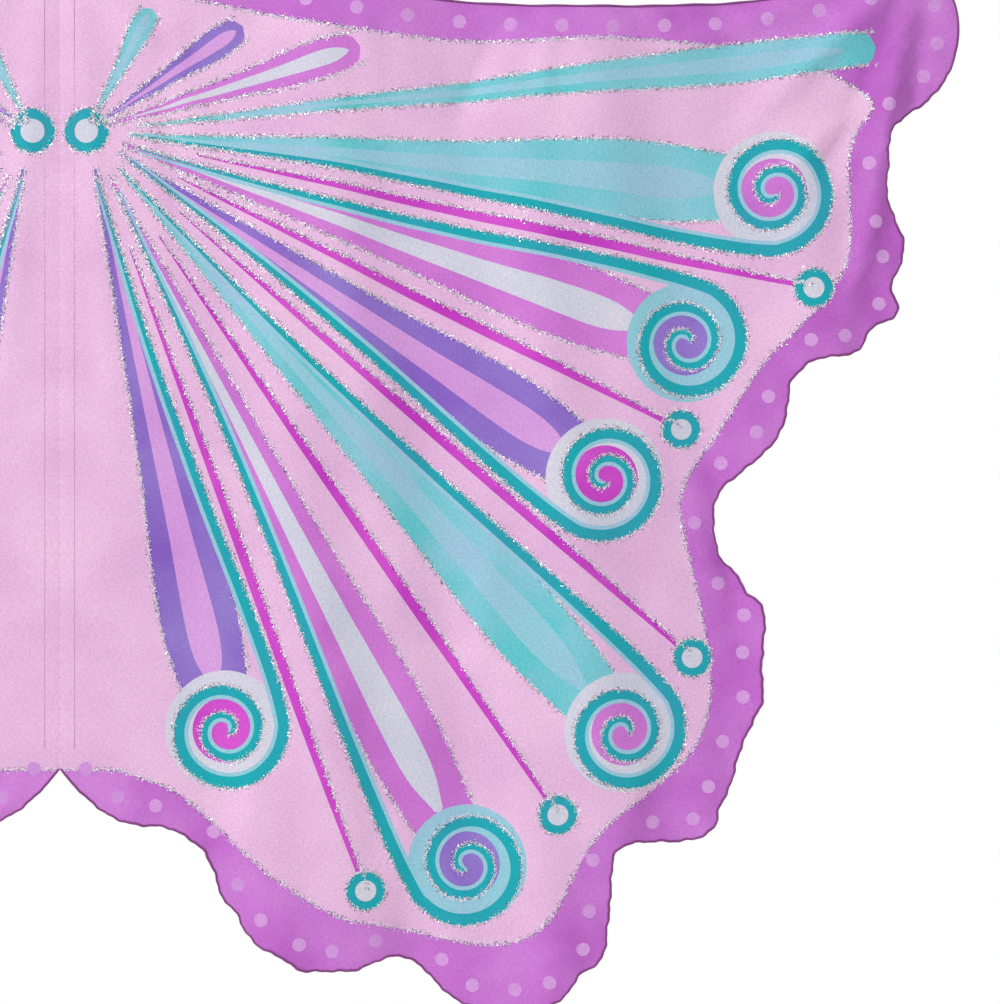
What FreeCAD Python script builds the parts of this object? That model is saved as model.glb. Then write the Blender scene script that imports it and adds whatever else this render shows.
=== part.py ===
"""Slip-on fabric fairy wings: two printed cloth wings joined down a centre back seam.

Frame: millimetres, +X towards the viewer's right, +Z up, printed face towards -Y and the
wearer on the +Y side. The origin is the middle of the neck edge.
"""
import FreeCAD
import Part
import math
import os

# Cloth
CLOTH_THICKNESS = 1.0
HEM_THICKNESS = 1.8
HEM_WIDTH = 2.4
SEAM_HALF_GAP = 0.2

# Folding lines of each wing, measured from the centre seam
SHOULDER_LINE = 70.0
ELBOW_LINE = 330.0
PANEL_CLEARANCE = 0.5
HEM_CLEARANCE = 1.1

# Soft vertical flutes that the hanging cloth takes
FLUTE_DEPTH = 5.0
FLUTES_TO_ELBOW = 1.5
FLUTE_PITCH = (ELBOW_LINE - SHOULDER_LINE) / FLUTES_TO_ELBOW
FLUTE_STEPS = 12

# Rolled edge of one wing, from the neck over the wing tip and down to the centre notch:
# distance from the centre seam, and drop below the neck
EDGE_POINTS = [
    (0, 0), (30, -4), (70, -3), (120, 6), (180, 18), (240, 27), (300, 32), (369, 34),
    (430, 32), (480, 28), (530, 19), (566, 11), (588, 14), (600, 30), (603, 52), (598, 76),
    (584, 96), (566, 109), (556, 121), (555, 142), (554, 160), (559, 175), (566, 193),
    (563, 210), (557, 222), (562, 234), (559, 244), (549, 247), (541, 255), (536, 265),
    (524, 269), (508, 271), (498, 277), (490, 287), (488, 302), (484, 318), (476, 330),
    (464, 341), (452, 351), (443, 360), (439, 374), (441, 396), (446, 407), (455, 415),
    (460, 426), (468, 432), (473, 443), (472, 460), (471, 480), (472, 498), (466, 513),
    (457, 533), (451, 555), (443, 572), (440, 584), (430, 592), (416, 595), (398, 595),
    (380, 596), (372, 603), (370, 618), (369, 636), (367, 655), (365, 669), (357, 679),
    (348, 683), (342, 693), (331, 702), (315, 706), (298, 707), (280, 706), (264, 700),
    (252, 690), (241, 679), (227, 672), (212, 675), (200, 680), (180, 681), (162, 680),
    (149, 671), (134, 664), (124, 654), (117, 641), (108, 632), (105, 621), (101, 611),
    (95, 600), (82, 590), (70, 585), (50, 583), (31, 576), (12, 560), (0, 546),
]
WING_REACH = 620.0
ABOVE_WING = 20.0
BELOW_WING = 720.0

# Woven tape over the centre seam, and the blank care label caught in it
TAPE_WIDTH = 25.0
TAPE_THICKNESS = 0.8
TAPE_TOP = -6.0
TAPE_BOTTOM = -538.0
LABEL_WIDTH = 34.0
LABEL_HEIGHT = 22.0
LABEL_THICKNESS = 0.4
LABEL_TOP = -70.0

# Shoulder elastics: one loop behind each shoulder line
STRAP_X = 56.0
STRAP_WIDTH = 10.0
STRAP_THICKNESS = 1.4
STRAP_TOP = -24.0
STRAP_BOTTOM = -226.0
STRAP_REACH = 70.0
STRAP_BEND = 48.0
STRAP_PIVOT_Y = 6.0
PATCH_WIDTH = 14.0
PATCH_HEIGHT = 12.0
PATCH_THICKNESS = 0.8
TACK_WIDTH = 10.0
TACK_HEIGHT = 6.0
TACK_THICKNESS = 0.7

# Wrist elastics: a loop hanging behind each wing tip
WRIST_X = 545.0
WRIST_WIDTH = 44.0
WRIST_DROP = 66.0
WRIST_TOP = -30.0
WRIST_BAND = 6.0
WRIST_THICKNESS = 1.3
WRIST_PIVOT_Y = 2.5
WRIST_TACK_HEIGHT = 5.0
WRIST_TACK_WIDTH = 6.0

UP = FreeCAD.Vector(0, 0, 1)


def point(x, y, z):
    return FreeCAD.Vector(x, y, z)


def box(x_low, x_high, y_low, y_high, z_low, z_high):
    """A block between two corners."""
    corner = point(x_low, y_low, z_low)
    return Part.makeBox(x_high - x_low, y_high - y_low, z_high - z_low, corner)


def mirrored(shape):
    """The left wing's piece from the right wing's."""
    return shape.mirror(point(0, 0, 0), point(1, 0, 0))


def spline(points):
    curve = Part.BSplineCurve()
    curve.interpolate(points)
    return curve


def edge_curve(inset):
    """The wing's edge as a smooth curve, moved into the cloth by inset."""
    outer = spline([point(x, 0, -drop) for x, drop in EDGE_POINTS])
    if inset == 0:
        return outer
    moved = []
    for x, drop in EDGE_POINTS:
        here = point(x, 0, -drop)
        along = outer.tangent(outer.parameter(here))[0]
        inward = point(along.z, 0, -along.x)
        if x == 0:
            inward = point(0, 0, math.copysign(1, inward.z))
        moved.append(here + inward * inset)
    return spline(moved)


def edge_prism(inset):
    """Everything inside the wing's edge, from front to back."""
    curve = edge_curve(inset)
    closing = Part.makeLine(curve.EndPoint, curve.StartPoint)
    face = Part.Face(Part.Wire([curve.toShape(), closing]))
    face.translate(point(0, -ABOVE_WING, 0))
    return face.extrude(point(0, 2 * ABOVE_WING, 0))


def flute(x):
    """How far the hanging cloth stands from the flat at x."""
    return FLUTE_DEPTH * math.sin(2 * math.pi * (x - SHOULDER_LINE) / FLUTE_PITCH)


def fluted_slab(thickness):
    """A sheet of the given thickness that follows the flutes beyond the shoulder line."""
    steps = math.ceil((WING_REACH - SHOULDER_LINE) / FLUTE_PITCH * FLUTE_STEPS)
    stations = [SHOULDER_LINE + FLUTE_PITCH * step / FLUTE_STEPS for step in range(steps + 1)]
    half = thickness / 2
    front = spline([point(x, flute(x) - half, -BELOW_WING) for x in stations])
    back = spline([point(x, flute(x) + half, -BELOW_WING) for x in stations])
    near_end = Part.makeLine(back.StartPoint, front.StartPoint)
    far_end = Part.makeLine(front.EndPoint, back.EndPoint)
    face = Part.Face(Part.Wire([front.toShape(), far_end, back.toShape(), near_end]))
    return face.extrude(UP * (BELOW_WING + ABOVE_WING))


def flat_slab(thickness):
    half = thickness / 2
    return box(0, SHOULDER_LINE, -half, half, -BELOW_WING, ABOVE_WING)


def strip(x_low, x_high):
    """The space between two vertical lines of the wing."""
    return box(x_low, x_high, -ABOVE_WING, ABOVE_WING, -BELOW_WING, ABOVE_WING)


def wing_pieces():
    """Cloth and hem of the three sections of the right wing."""
    cloth_outline = edge_prism(HEM_WIDTH)
    hem_outline = edge_prism(0).cut(cloth_outline)
    sections = [
        ("base", SEAM_HALF_GAP, SHOULDER_LINE, flat_slab),
        ("middle", SHOULDER_LINE, ELBOW_LINE, fluted_slab),
        ("tip", ELBOW_LINE, WING_REACH, fluted_slab),
    ]
    pieces = {}
    for name, start, end, slab in sections:
        cloth_start = start + PANEL_CLEARANCE
        cloth_end = end - PANEL_CLEARANCE
        hem_start = start + HEM_CLEARANCE
        hem_end = end - HEM_CLEARANCE
        if name == "base":
            cloth_start = start
            hem_start = start
        cloth = slab(CLOTH_THICKNESS).common(cloth_outline).common(strip(cloth_start, cloth_end))
        hem = slab(HEM_THICKNESS).common(hem_outline).common(strip(hem_start, hem_end))
        pieces["wing_" + name] = cloth
        pieces[name + "_hem"] = hem
    return pieces


def seam_tape():
    back = CLOTH_THICKNESS / 2
    half = TAPE_WIDTH / 2
    return box(-half, half, back, back + TAPE_THICKNESS, TAPE_BOTTOM, TAPE_TOP)


def care_label():
    front = CLOTH_THICKNESS / 2 + TAPE_THICKNESS
    half = LABEL_WIDTH / 2
    return box(-half, half, front, front + LABEL_THICKNESS, LABEL_TOP - LABEL_HEIGHT, LABEL_TOP)


def strap_end_blocks(width, height, y_low, y_high):
    """A block behind each of the two ends of a shoulder elastic."""
    blocks = []
    for middle in (STRAP_TOP - STRAP_THICKNESS / 2, STRAP_BOTTOM + STRAP_THICKNESS / 2):
        blocks.append(box(STRAP_X - width / 2, STRAP_X + width / 2, y_low, y_high,
                          middle - height / 2, middle + height / 2))
    return Part.makeCompound(blocks)


def strap_patches():
    back = CLOTH_THICKNESS / 2
    return strap_end_blocks(PATCH_WIDTH, PATCH_HEIGHT, back, back + PATCH_THICKNESS)


def strap_tacks():
    back = CLOTH_THICKNESS / 2 + PATCH_THICKNESS
    return strap_end_blocks(TACK_WIDTH, TACK_HEIGHT, back, back + TACK_THICKNESS)


def shoulder_loop_core(inset):
    """The D-shaped space of a shoulder elastic, made smaller all round by inset."""
    block = box(STRAP_X - STRAP_WIDTH / 2, STRAP_X + STRAP_WIDTH / 2,
                STRAP_PIVOT_Y - STRAP_THICKNESS, STRAP_REACH - inset,
                STRAP_BOTTOM + inset, STRAP_TOP - inset)
    far_edges = [edge for edge in block.Edges
                 if abs(edge.BoundBox.XLength - STRAP_WIDTH) < 0.01
                 and edge.BoundBox.YMin > STRAP_PIVOT_Y]
    return block.makeFillet(STRAP_BEND - inset, far_edges)


def shoulder_elastic():
    loop = shoulder_loop_core(0).cut(shoulder_loop_core(STRAP_THICKNESS))
    in_front = box(STRAP_X - STRAP_WIDTH, STRAP_X + STRAP_WIDTH, 0, STRAP_PIVOT_Y,
                   STRAP_BOTTOM - 1, STRAP_TOP + 1)
    return loop.cut(in_front)


def wrist_loop_core(inset):
    """The U-shaped space of a wrist elastic, made smaller all round by inset."""
    half = WRIST_WIDTH / 2 - inset
    centre_z = WRIST_TOP - WRIST_DROP + WRIST_WIDTH / 2
    round_end = Part.makeCylinder(half, WRIST_BAND, point(WRIST_X, WRIST_PIVOT_Y - WRIST_BAND / 2, centre_z),
                                  point(0, 1, 0))
    sides = box(WRIST_X - half, WRIST_X + half, WRIST_PIVOT_Y - WRIST_BAND / 2,
                WRIST_PIVOT_Y + WRIST_BAND / 2, centre_z, WRIST_TOP)
    return round_end.fuse(sides)


def wrist_elastic():
    return wrist_loop_core(0).cut(wrist_loop_core(WRIST_THICKNESS)).removeSplitter()


def wrist_tacks():
    """Stitched pads that hold the two ends of the wrist elastic to the cloth."""
    pads = []
    for side in (-1, 1):
        x = WRIST_X + side * (WRIST_WIDTH - WRIST_THICKNESS) / 2
        cloth_back = flute(x) + HEM_THICKNESS / 2
        pads.append(box(x - WRIST_TACK_WIDTH / 2, x + WRIST_TACK_WIDTH / 2,
                        cloth_back, cloth_back + TACK_THICKNESS,
                        WRIST_TOP - WRIST_TACK_HEIGHT, WRIST_TOP))
    return Part.makeCompound(pads)


def export(name, shape):
    shape.exportStep("parts/" + name + ".step")
    size = shape.BoundBox
    print(f"{name:24s} {len(shape.Solids)} solids, {shape.Volume:9.1f} mm3, "
          f"{size.XLength:.1f} x {size.YLength:.1f} x {size.ZLength:.1f}, valid {shape.isValid()}")


def main():
    os.makedirs("parts", exist_ok=True)
    right = wing_pieces()
    right["strap_patches"] = strap_patches()
    right["strap_tacks"] = strap_tacks()
    right["shoulder_elastic"] = shoulder_elastic()
    right["wrist_tacks"] = wrist_tacks()
    right["wrist_elastic"] = wrist_elastic()
    for name, shape in right.items():
        export("right_" + name, shape)
        export("left_" + name, mirrored(shape))
    export("back_seam_tape", seam_tape())
    export("care_label", care_label())


main()
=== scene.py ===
import math

import bpy
import numpy as np
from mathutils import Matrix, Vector
from mathutils.geometry import delaunay_2d_cdt


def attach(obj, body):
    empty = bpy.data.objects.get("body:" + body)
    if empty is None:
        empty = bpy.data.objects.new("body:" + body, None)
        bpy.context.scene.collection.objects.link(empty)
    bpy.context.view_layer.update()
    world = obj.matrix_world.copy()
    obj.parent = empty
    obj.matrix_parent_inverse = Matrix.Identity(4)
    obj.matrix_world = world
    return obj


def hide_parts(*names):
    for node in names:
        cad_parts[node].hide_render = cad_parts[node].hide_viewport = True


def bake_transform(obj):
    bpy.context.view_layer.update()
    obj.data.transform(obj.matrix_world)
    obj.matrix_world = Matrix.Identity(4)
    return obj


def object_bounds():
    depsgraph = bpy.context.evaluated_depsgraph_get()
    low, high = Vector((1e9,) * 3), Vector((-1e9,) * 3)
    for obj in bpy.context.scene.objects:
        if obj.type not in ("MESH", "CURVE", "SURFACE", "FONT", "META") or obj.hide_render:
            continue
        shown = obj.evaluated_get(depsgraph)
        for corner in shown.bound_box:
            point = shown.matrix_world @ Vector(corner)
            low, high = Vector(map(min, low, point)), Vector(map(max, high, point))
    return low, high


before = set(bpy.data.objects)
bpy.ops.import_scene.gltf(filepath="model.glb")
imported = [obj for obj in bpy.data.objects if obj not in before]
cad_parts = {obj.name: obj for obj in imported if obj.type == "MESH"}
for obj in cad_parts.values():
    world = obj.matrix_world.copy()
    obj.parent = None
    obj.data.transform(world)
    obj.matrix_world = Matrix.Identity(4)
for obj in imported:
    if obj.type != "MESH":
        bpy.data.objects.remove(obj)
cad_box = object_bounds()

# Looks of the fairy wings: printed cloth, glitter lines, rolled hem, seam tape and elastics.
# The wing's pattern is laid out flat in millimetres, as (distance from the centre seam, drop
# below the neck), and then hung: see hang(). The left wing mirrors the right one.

MM = 0.001
SIDES = {"right": 1, "left": -1}

# ---- the cut of one wing

SHOULDER_LINE = 70.0
ELBOW_LINE = 330.0
PIECE_LINE = 215.0          # where the inner and the outer mesh of a wing meet
CLOTH_THICKNESS = 0.4
EDGE_STEP = 3.0
GRID_STEP = 8.0
GRID_TOP, GRID_BOTTOM, GRID_RIGHT = -8.0, 716.0, 606.0      # just outside the cut

EDGE_POINTS = [
    (0, 0), (30, -4), (70, -3), (120, 6), (180, 18), (240, 27), (300, 32), (369, 34),
    (430, 32), (480, 28), (530, 19), (566, 11), (588, 14), (600, 30), (603, 52), (598, 76),
    (584, 96), (566, 109), (556, 121), (555, 142), (554, 160), (559, 175), (566, 193),
    (563, 210), (557, 222), (562, 234), (559, 244), (549, 247), (541, 255), (536, 265),
    (524, 269), (508, 271), (498, 277), (490, 287), (488, 302), (484, 318), (476, 330),
    (464, 341), (452, 351), (443, 360), (439, 374), (441, 396), (446, 407), (455, 415),
    (460, 426), (468, 432), (473, 443), (472, 460), (471, 480), (472, 498), (466, 513),
    (457, 533), (451, 555), (443, 572), (440, 584), (430, 592), (416, 595), (398, 595),
    (380, 596), (372, 603), (370, 618), (369, 636), (367, 655), (365, 669), (357, 679),
    (348, 683), (342, 693), (331, 702), (315, 706), (298, 707), (280, 706), (264, 700),
    (252, 690), (241, 679), (227, 672), (212, 675), (200, 680), (180, 681), (162, 680),
    (149, 671), (134, 664), (124, 654), (117, 641), (108, 632), (105, 621), (101, 611),
    (95, 600), (82, 590), (70, 585), (50, 583), (31, 576), (12, 560), (0, 546),
]

# ---- the print
# A plain fan: rays spread from a root near the centre seam. Long rays carry a leaf and a round
# swirl, short ones a leaf alone. Between long rays stand a vein and a disc, and the border has
# dots. Rays are in degrees below the level line, lengths in mm.

ROOT = (18.0, 118.0)
SWIRL_RAYS = (5, 19.4, 33.8, 48.2, 62.6, 77)
LEAF_RAYS = (-6, -17, -34, -62)
GROUND_RAYS = (-84.0, 90.0, 2.0)        # first, end and step
GROUND_SOFTENING = 5                    # rays over which the ground's rim is averaged
BORDER = 30.0                           # width of the mauve border

SWIRL_REACH = 40.0
SWIRL_TURNS = 2.2
SWIRL_BAND = 8.0
LINING_WIDTH = 2.6
EYE_SIZE = 0.07                         # radius of a swirl's eye, as a share of its reach
CORE_SHARE = 0.55                       # radius of a swirl's inner fill, as a share of its reach

# Leaves and cores: share of the length, share of the width
LEAF_SHAPE = ((0.06, 0.03), (0.3, 0.31), (0.55, 0.62), (0.8, 1.0), (0.97, 0.8))
CORE_SHAPE = ((0.15, 0.02), (0.4, 0.14), (0.65, 0.28), (0.85, 0.4), (0.93, 0.1))
LEAF_WIDTH = 52.0
SHORT_LEAF_WIDTH = 26.0
SHORT_LEAF_SLIMNESS = 0.16              # widest share of a short leaf's length
VEIN_SHAPE = ((0.15, 1), (0.4, 5), (0.7, 7), (1.0, 3))      # share of the length, width
# A swirl's tail: share of the length, share of the reach to the side, width
TAIL_SHAPE = ((0.93, 0.97, 8), (0.8, 0.8, 7), (0.6, 0.5, 6), (0.35, 0.2, 4), (0.08, 0.0, 1))

# Clear cloth between the border and the end of a short leaf, a swirl and a vein
LEAF_CLEARANCE, SWIRL_CLEARANCE, VEIN_CLEARANCE = 8, 6, 18
ROOT_DISC = (15, 8)                     # radius of a disc and of its white middle
VEIN_DISC = (13, 7)
DISC_SIDES = 32
DOT_INSET, DOT_PITCH, DOT_RADIUS = 14.0, 34.0, 4.5
DOT_TOLERANCE = 3.0                     # a dot nearer to the edge by more than this is left out

LEAF_COLOURS = (("aqua", "sky"), ("orchid", "white"), ("purple", "lilac"))
SWIRL_FILLS = (("white", "orchid"), ("sky", "purple"), ("white", "magenta"))
EDGE_GAP = 0.4                          # from a motif's edge to the middle of its glitter line

# ---- curves


def smooth(points, step, closed=False):
    """A Catmull-Rom curve through points of any dimension, sampled about every step."""
    knots = np.array(points, float)
    if closed:
        knots = np.vstack([knots[-1], knots, knots[:2]])
    else:
        knots = np.vstack([2 * knots[0] - knots[1], knots, 2 * knots[-1] - knots[-2]])
    samples = []
    for before, start, end, after in zip(knots, knots[1:], knots[2:], knots[3:]):
        pieces = max(2, math.ceil(np.linalg.norm((end - start)[:2]) / step))
        t = (np.arange(pieces) / pieces)[:, None]
        samples.append(0.5 * (2 * start + (end - before) * t
                              + (2 * before - 5 * start + 4 * end - after) * t ** 2
                              + (3 * start - before - 3 * end + after) * t ** 3))
    if not closed:
        samples.append(knots[-2][None, :])
    return np.vstack(samples)


def sideways(line):
    """Unit vectors to the right of travel along a flat line, as the viewer sees it."""
    along = np.gradient(line, axis=0)
    along /= np.linalg.norm(along, axis=1)[:, None] + 1e-9
    return np.column_stack([-along[:, 1], along[:, 0]])


def distance_along(line):
    steps = np.linalg.norm(np.diff(line, axis=0), axis=1)
    return np.concatenate([[0], np.cumsum(steps)])


def resample(line, at):
    """Points of a line at the given distances along it."""
    along = distance_along(line)
    return np.column_stack([np.interp(at, along, column) for column in line.T])


def sideways_at(line, at):
    """The line's sideways vectors at the given distances along it."""
    along = distance_along(line)
    return np.column_stack([np.interp(at, along, column) for column in sideways(line).T])


def ribbon(samples, shift=0.0, width=None):
    """The outline of a sampled stroke with round ends, or of a narrower band of the given width
    that runs beside its edge: shift 1 is its right edge and -1 its left."""
    middle, half = samples[:, :2], samples[:, 2:] / 2
    along = distance_along(middle)
    from_end = np.minimum(along, along[-1] - along)[:, None]
    half = half * np.sqrt(1 - (1 - np.clip(from_end / (half + 0.01), 0, 1)) ** 2)
    side = sideways(middle)
    if width is not None:
        middle = middle + side * (shift * (half + width / 2))
        half = np.minimum(half, width / 2)
    return np.vstack([middle + side * half, (middle - side * half)[::-1]])


def oval(centre, half_width, half_height, count=48):
    turn = np.linspace(0, 2 * math.pi, count, endpoint=False)
    return np.column_stack([centre[0] + half_width * np.cos(turn),
                            centre[1] + half_height * np.sin(turn)])


def swirl_place(swirl, share, angle):
    """The point of a swirl at a share of its reach, in the direction of an angle."""
    tilt = math.radians(swirl["tilt"])
    along = SWIRL_REACH * share * np.cos(angle)
    up = SWIRL_REACH * share * np.sin(angle)
    return np.column_stack([swirl["eye"][0] + along * math.cos(tilt) - up * math.sin(tilt),
                            swirl["eye"][1] + along * math.sin(tilt) + up * math.cos(tilt)])


def swirl_stroke(swirl):
    """The middle line and width of a swirl's band, from its eye to the end of its tail."""
    share = np.linspace(0, 1, int(24 * SWIRL_TURNS))
    end = math.radians(90 * swirl["spin"])
    angle = end - swirl["spin"] * 2 * math.pi * SWIRL_TURNS * (1 - share)
    place = swirl_place(swirl, EYE_SIZE + (1 - EYE_SIZE) * share, angle)
    slimmer_inside = np.minimum(0.35 + 0.75 * share, 1)
    pointed_tip = np.minimum(0.15 + share / 0.08, 1)
    width = SWIRL_BAND * slimmer_inside * pointed_tip
    stroke = np.column_stack([place, width])
    return smooth(np.vstack([stroke, swirl["tail"]]), 2.5)




def inside(points, outline):
    """Which points lie inside a closed outline, where it may cross itself."""
    low, high = outline.min(axis=0), outline.max(axis=0)
    near = np.all((points > low) & (points < high), axis=1)
    x, y = points[near].T
    winding = np.zeros(len(x), int)
    for (x1, y1), (x2, y2) in zip(outline, np.roll(outline, -1, axis=0)):
        if y1 != y2:
            passes = ((y1 > y) != (y2 > y)) & (x < (x2 - x1) * (y - y1) / (y2 - y1) + x1)
            winding += passes * (1 if y2 > y1 else -1)
    result = np.zeros(len(points), bool)
    result[near] = winding != 0
    return result


def print_layers():
    """Every printed shape, bottom to top: colour and closed outline."""
    layers = [("pink", GROUND)]
    for colour, _, stroke in RIBBONS:
        layers.append((colour, ribbon(smooth(stroke, 3.0))))
    for colour, centre, radius, _ in DISCS:
        layers.append((colour, oval(centre, radius, radius, DISC_SIDES)))
    for swirl in SWIRLS:
        stroke = swirl_stroke(swirl)
        for colour, share in zip(swirl["fills"], (1.0, CORE_SHARE)):
            radius = SWIRL_REACH * share
            layers.append((colour, oval(swirl["eye"], radius, radius)))
        layers.append(("sky", ribbon(stroke, swirl["spin"], LINING_WIDTH)))
        layers.append(("teal", ribbon(stroke)))
    return layers


def glitter_lines():
    """Every glitter line of a wing: its middle line, and the shapes that hide it."""
    layers = [shape for _, shape in print_layers()]
    motifs = layers[1:]
    swirls = layers[1 + len(RIBBONS) + len(DISCS):]
    lines = [(GROUND, motifs)]
    for _, edges, stroke in RIBBONS:
        samples = smooth(stroke, 2.0)
        for edge, direction in (("right", 1), ("left", -1)):
            if edge in edges:
                lines.append((beside(samples, direction), swirls))
    for _, centre, radius, glitters in DISCS:
        if glitters:
            lines.append((oval(centre, radius + EDGE_GAP, radius + EDGE_GAP), []))
    for swirl in SWIRLS:
        lines.append((beside(swirl_stroke(swirl), -swirl["spin"]), []))
    return lines


def beside(samples, direction):
    """The line just off the right or left edge of a sampled stroke."""
    offset = direction * (samples[:, 2:] / 2 + EDGE_GAP)
    return samples[:, :2] + sideways(samples[:, :2]) * offset


# ---- the edge of the cloth

SCALLOPS = [(17.0, 0.4), (8.3, 0.25)]       # length and height of the small waves of the hem
SCALLOPS_START = 640.0                      # distance along the edge from the neck


def edge_outline(step=EDGE_STEP):
    line = smooth(EDGE_POINTS, 1.0)
    along = distance_along(line)
    wave = sum(height * np.sin(2 * math.pi * along / length) for length, height in SCALLOPS)
    fade = np.clip((along - SCALLOPS_START) / 40, 0, 1) * np.clip((along[-1] - along) / 40, 0, 1)
    line = line + sideways(line) * (wave * fade)[:, None]
    length = distance_along(line)[-1]
    return resample(line, np.linspace(0, length, round(length / step)))


# ---- how the cloth hangs

FLUTE_PITCH = (ELBOW_LINE - SHOULDER_LINE) / 1.5
FLUTE_HEIGHT, FLUTE_GROWTH = 3.6, 3.4       # at the neck, and what the lowest edge adds
WAVE_LENGTH, WAVE_DROP = 61.0, 420.0        # slanting waves between the flutes
WAVE_HEIGHT, WAVE_GROWTH = 0.8, 1.4
FLAT_BACK, FADE_WIDTH = 40.0, 90.0          # the cloth is held flat beside the seam
LOWEST_DROP = 700.0
RIPPLE_LENGTH = 34.0        # small waves of the cloth near its hem
RIPPLE_HEIGHT = 1.3
RIPPLE_REACH = 12.0
SEAM_DIP = 0.9              # the groove over the centre seam
SEAM_HALF_WIDTH = 2.0

# Creases: from (distance, drop) to (distance, drop), half-width, height towards the viewer
CREASES = [
    ((562, 16), (455, 120), 9, 5.0),
    ((566, 24), (500, 180), 9, -3.8),
    ((570, 28), (528, 250), 8, 5.6),
    ((582, 30), (556, 190), 7, -3.8),
    ((548, 14), (400, 66), 8, 2.8),
    ((545, 96), (480, 150), 7, 2.6),
    ((560, 150), (520, 250), 7, 2.4),
    ((300, 34), (262, 120), 9, -2.8),
    ((330, 34), (322, 110), 8, 2.4),
    ((200, 20), (215, 96), 9, 2.2),
    ((20, 0), (120, 150), 11, 2.8),
    ((60, 4), (90, 240), 10, -2.6),
    ((12, 20), (40, 330), 9, 2.4),
    ((288, 400), (276, 520), 10, 2.6),
    ((420, 330), (446, 470), 10, 3.4),
    ((440, 350), (468, 520), 8, -3.0),
    ((230, 560), (215, 680), 12, 3.0),
    ((300, 600), (320, 705), 12, -3.0),
    ((130, 560), (110, 640), 10, 2.8),
    ((400, 500), (380, 595), 10, 2.8),
    ((60, 330), (90, 470), 12, -2.0),
]


EDGE_LINE = edge_outline(2.0)


def edge_distance(points):
    """Distance from each point of the cloth to the wing's edge."""
    nearest = []
    for block in np.array_split(points, len(points) // 4000 + 1):
        gap = np.hypot(block[:, None, 0] - EDGE_LINE[:, 0], block[:, None, 1] - EDGE_LINE[:, 1])
        nearest.append(gap.min(axis=1))
    return np.concatenate(nearest)


# ---- the fan of the print


def on_ray(degrees, distance, offset=0.0):
    """The point so far out along a ray from the root, moved across it by an offset."""
    angle = math.radians(degrees)
    return (ROOT[0] + distance * math.cos(angle) - offset * math.sin(angle),
            ROOT[1] + distance * math.sin(angle) + offset * math.cos(angle))


def ray_reach(degrees, margin):
    """How far a ray goes before it comes within a margin of the cloth's edge."""
    distances = np.arange(20.0, 700.0, 2.0)
    points = np.array([on_ray(degrees, distance) for distance in distances])
    blocked = (edge_distance(points) < margin) | ~inside(points, EDGE_LINE)
    return distances[np.argmax(blocked)]


def ground():
    """The pink ground inside the mauve border; it runs on past the centre seam."""
    angles = np.arange(*GROUND_RAYS)
    reaches = np.array([ray_reach(angle, BORDER) for angle in angles])
    padded = np.pad(reaches, GROUND_SOFTENING // 2, mode="edge")
    average = np.ones(GROUND_SOFTENING) / GROUND_SOFTENING
    reaches = np.convolve(padded, average, mode="valid")
    rim = [on_ray(angle, reach) for angle, reach in zip(angles, reaches)]
    top, bottom = rim[0][1], rim[-1][1]
    closed = [(-80, top), (-40, top)] + rim + [(-40, bottom), (-80, bottom)]
    return smooth(closed, 3.0, closed=True)


def leaf(degrees, length, width, colours):
    """A leaf that widens along a ray, with a slim core of a second colour."""
    whole = [(*on_ray(degrees, length * share), width * part) for share, part in LEAF_SHAPE]
    core = [(*on_ray(degrees, length * share), width * part) for share, part in CORE_SHAPE]
    return [(colours[0], "left right", whole), (colours[1], "", core)]


def rimmed_disc(centre, radius, middle_radius):
    """A teal disc with a glitter rim and a white middle."""
    return [("teal", centre, radius, True), ("white", centre, middle_radius, False)]


def fan():
    """The ribbons, discs and swirls of the whole fan. A ribbon is a colour, which of its edges
    glitter and its stroke; a disc is a colour, its middle, its radius and whether it glitters."""
    ribbons, swirls = [], []
    discs = rimmed_disc(ROOT, *ROOT_DISC)
    for number, degrees in enumerate(LEAF_RAYS):
        length = ray_reach(degrees, BORDER + LEAF_CLEARANCE)
        width = min(SHORT_LEAF_WIDTH, SHORT_LEAF_SLIMNESS * length)
        ribbons += leaf(degrees, length, width, LEAF_COLOURS[number % len(LEAF_COLOURS)])
    for number, degrees in enumerate(SWIRL_RAYS):
        length = ray_reach(degrees, BORDER + SWIRL_REACH + SWIRL_CLEARANCE)
        spin = 1 if number % 2 == 0 else -1
        ribbons += leaf(degrees, length, LEAF_WIDTH, LEAF_COLOURS[number % len(LEAF_COLOURS)])
        tail = [(*on_ray(degrees, length * share, spin * SWIRL_REACH * rise), width)
                for share, rise, width in TAIL_SHAPE]
        swirls.append(dict(eye=on_ray(degrees, length), tilt=degrees, spin=spin,
                           fills=SWIRL_FILLS[number % len(SWIRL_FILLS)], tail=tail))
    for low, high in zip(SWIRL_RAYS, SWIRL_RAYS[1:]):
        middle = (low + high) / 2
        length = ray_reach(middle, BORDER + VEIN_CLEARANCE)
        ribbons.append(("magenta", "left", [(*on_ray(middle, length * share), width)
                                            for share, width in VEIN_SHAPE]))
        discs += rimmed_disc(on_ray(middle, length), *VEIN_DISC)
    along = np.arange(DOT_PITCH, distance_along(EDGE_LINE)[-1], DOT_PITCH)
    dots = resample(EDGE_LINE, along) + sideways_at(EDGE_LINE, along) * DOT_INSET
    dots = dots[(edge_distance(dots) > DOT_INSET - DOT_TOLERANCE) & (dots[:, 0] > DOT_INSET)]
    discs += [("lilac", tuple(dot), DOT_RADIUS, False) for dot in dots]
    return ribbons, discs, swirls


GROUND = ground()
RIBBONS, DISCS, SWIRLS = fan()


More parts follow.
